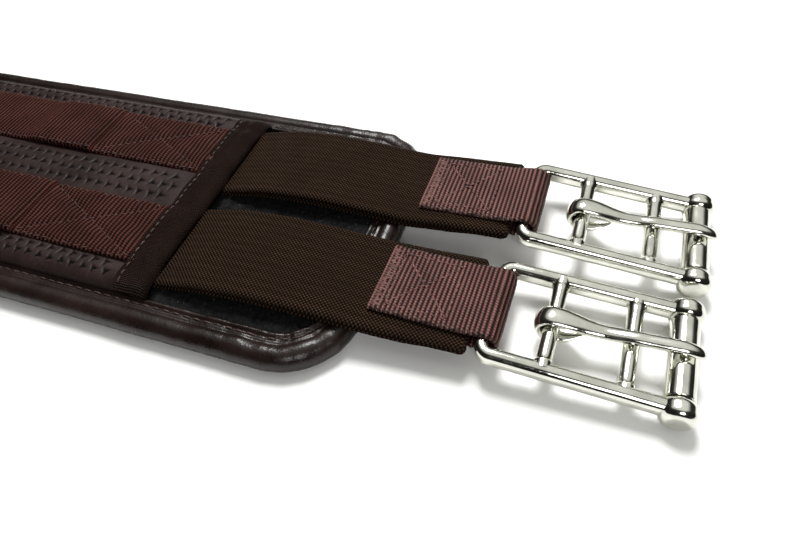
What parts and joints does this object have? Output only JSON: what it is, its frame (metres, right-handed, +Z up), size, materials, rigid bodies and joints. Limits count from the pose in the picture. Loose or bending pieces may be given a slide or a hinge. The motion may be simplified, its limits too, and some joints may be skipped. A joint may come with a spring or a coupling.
{
  "type": "saddle girth",
  "caption": "Padded straight saddle girth with a perforated cover, webbing rows, doubled elastic straps and roller buckles with S-shaped tongues at both ends.",
  "frame": {"origin": "under the middle of the girth, on the surface it lies on", "axes": "+X along the girth towards the right end, +Y across it, +Z up out of the padded face; the left end is the right end turned half a turn about Z"},
  "size_m": [0.7104, 0.108, 0.0148],
  "materials": {
    "girth_leather": "smooth rolled leather, soft gloss",
    "foam": "hidden foam padding",
    "felt": "black felt",
    "cover_leather": "perforated, matt",
    "band_tape": "folded tape",
    "webbing": "ribbed nylon webbing",
    "elastic": "twill woven elastic",
    "steel": "polished stainless steel"
  },
  "bodies": {
    "left_half": {"base_skin_left": "girth_leather", "foam_core_left": "foam", "felt_lining_left": "felt", "edge_binding_left": "girth_leather", "cover_padding_left": "foam", "perforated_cover_left": "cover_leather", "end_band_left": "band_tape", "long_webbing_left_far": "webbing", "long_webbing_left_near": "webbing", "anchor_webbing_left_far": "webbing", "anchor_webbing_left_near": "webbing", "elastic_root_left_far": "elastic", "elastic_root_left_near": "elastic"},
    "strap_left_far": {"elastic_strap_left_far": "elastic"},
    "loop_left_far": {"webbing_loop_left_far": "webbing"},
    "buckle_left_far": {"buckle_frame_left_far": "steel", "roller_pin_left_far": "steel"},
    "tongue_left_far": {"tongue_left_far": "steel"},
    "roller_left_far": {"roller_left_far": "steel"},
    "strap_left_near": {"elastic_strap_left_near": "elastic"},
    "loop_left_near": {"webbing_loop_left_near": "webbing"},
    "buckle_left_near": {"buckle_frame_left_near": "steel", "roller_pin_left_near": "steel"},
    "tongue_left_near": {"tongue_left_near": "steel"},
    "roller_left_near": {"roller_left_near": "steel"},
    "right_half": {"base_skin_right": "girth_leather", "foam_core_right": "foam", "felt_lining_right": "felt", "edge_binding_right": "girth_leather", "cover_padding_right": "foam", "perforated_cover_right": "cover_leather", "end_band_right": "band_tape", "long_webbing_right_near": "webbing", "long_webbing_right_far": "webbing", "anchor_webbing_right_near": "webbing", "anchor_webbing_right_far": "webbing", "elastic_root_right_near": "elastic", "elastic_root_right_far": "elastic"},
    "strap_right_near": {"elastic_strap_right_near": "elastic"},
    "loop_right_near": {"webbing_loop_right_near": "webbing"},
    "buckle_right_near": {"buckle_frame_right_near": "steel", "roller_pin_right_near": "steel"},
    "tongue_right_near": {"tongue_right_near": "steel"},
    "roller_right_near": {"roller_right_near": "steel"},
    "strap_right_far": {"elastic_strap_right_far": "elastic"},
    "loop_right_far": {"webbing_loop_right_far": "webbing"},
    "buckle_right_far": {"buckle_frame_right_far": "steel", "roller_pin_right_far": "steel"},
    "tongue_right_far": {"tongue_right_far": "steel"},
    "roller_right_far": {"roller_right_far": "steel"}
  },
  "joints": [
    {"name": "girth_bend", "type": "hinge", "parent": "left_half", "child": "right_half", "pos_m": [0, 0, 0], "axis": [0, 1, 0], "range_deg": [0, 120]},
    {"name": "lift_right_near", "type": "hinge", "parent": "right_half", "child": "strap_right_near", "pos_m": [0.1926, -0.02175, 0.00855], "axis": [0.0349, -0.9994, 0], "range_deg": [0, 80]},
    {"name": "stretch_right_near", "type": "slide", "parent": "strap_right_near", "child": "loop_right_near", "axis": [0.9989, 0.0349, -0.0297], "range_m": [0, 0.03], "stiffness_N_per_m": 3000, "deforming": ["elastic_strap_right_near"]},
    {"name": "buckle_swing_right_near", "type": "hinge", "parent": "loop_right_near", "child": "buckle_right_near", "pos_m": [0.29604, -0.01814, 0.0082], "axis": [0.0174, 0.9998, -0.0016], "range_deg": [-110, 90]},
    {"name": "tongue_lift_right_near", "type": "hinge", "parent": "buckle_right_near", "child": "tongue_right_near", "pos_m": [0.31313, -0.01844, 0.00772], "axis": [-0.0174, -0.9998, 0.0016], "range_deg": [0, 140]},
    {"name": "roller_spin_right_near", "type": "hinge", "parent": "buckle_right_near", "child": "roller_right_near", "pos_m": [0.34835, -0.01905, 0.0052], "axis": [0.0174, 0.9998, -0.0016], "continuous": true},
    {"name": "lift_right_far", "type": "hinge", "parent": "right_half", "child": "strap_right_far", "pos_m": [0.1926, 0.02175, 0.00855], "axis": [0.0349, -0.9994, 0], "range_deg": [0, 80]},
    {"name": "stretch_right_far", "type": "slide", "parent": "strap_right_far", "child": "loop_right_far", "axis": [0.999, 0.0349, 0.0282], "range_m": [0, 0.03], "stiffness_N_per_m": 3000, "deforming": ["elastic_strap_right_far"]},
    {"name": "buckle_swing_right_far", "type": "hinge", "parent": "loop_right_far", "child": "buckle_right_far", "pos_m": [0.29804, 0.02543, 0.0104], "axis": [0, 1, 0.001], "range_deg": [-110, 90]},
    {"name": "tongue_lift_right_far", "type": "hinge", "parent": "buckle_right_far", "child": "tongue_right_far", "pos_m": [0.3151, 0.02543, 0.0092], "axis": [0, -1, -0.001], "range_deg": [0, 140]},
    {"name": "roller_spin_right_far", "type": "hinge", "parent": "buckle_right_far", "child": "roller_right_far", "pos_m": [0.35018, 0.02544, 0.0052], "axis": [0, 1, 0.001], "continuous": true},
    {"name": "lift_left_far", "type": "hinge", "parent": "left_half", "child": "strap_left_far", "pos_m": [-0.1926, 0.02175, 0.00855], "axis": [-0.0349, 0.9994, 0], "range_deg": [0, 80]},
    {"name": "stretch_left_far", "type": "slide", "parent": "strap_left_far", "child": "loop_left_far", "axis": [-0.9989, -0.0349, -0.0297], "range_m": [0, 0.03], "stiffness_N_per_m": 3000, "deforming": ["elastic_strap_left_far"]},
    {"name": "buckle_swing_left_far", "type": "hinge", "parent": "loop_left_far", "child": "buckle_left_far", "pos_m": [-0.29604, 0.01814, 0.0082], "axis": [-0.0174, -0.9998, -0.0016], "range_deg": [-110, 90]},
    {"name": "tongue_lift_left_far", "type": "hinge", "parent": "buckle_left_far", "child": "tongue_left_far", "pos_m": [-0.31313, 0.01844, 0.00772], "axis": [0.0174, 0.9998, 0.0016], "range_deg": [0, 140]},
    {"name": "roller_spin_left_far", "type": "hinge", "parent": "buckle_left_far", "child": "roller_left_far", "pos_m": [-0.34835, 0.01905, 0.0052], "axis": [-0.0174, -0.9998, -0.0016], "continuous": true},
    {"name": "lift_left_near", "type": "hinge", "parent": "left_half", "child": "strap_left_near", "pos_m": [-0.1926, -0.02175, 0.00855], "axis": [-0.0349, 0.9994, 0], "range_deg": [0, 80]},
    {"name": "stretch_left_near", "type": "slide", "parent": "strap_left_near", "child": "loop_left_near", "axis": [-0.999, -0.0349, 0.0282], "range_m": [0, 0.03], "stiffness_N_per_m": 3000, "deforming": ["elastic_strap_left_near"]},
    {"name": "buckle_swing_left_near", "type": "hinge", "parent": "loop_left_near", "child": "buckle_left_near", "pos_m": [-0.29804, -0.02543, 0.0104], "axis": [0, -1, 0.001], "range_deg": [-110, 90]},
    {"name": "tongue_lift_left_near", "type": "hinge", "parent": "buckle_left_near", "child": "tongue_left_near", "pos_m": [-0.3151, -0.02543, 0.0092], "axis": [0, 1, -0.001], "range_deg": [0, 140]},
    {"name": "roller_spin_left_near", "type": "hinge", "parent": "buckle_left_near", "child": "roller_left_near", "pos_m": [-0.35018, -0.02544, 0.0052], "axis": [0, -1, 0.001], "continuous": true}
  ]
}
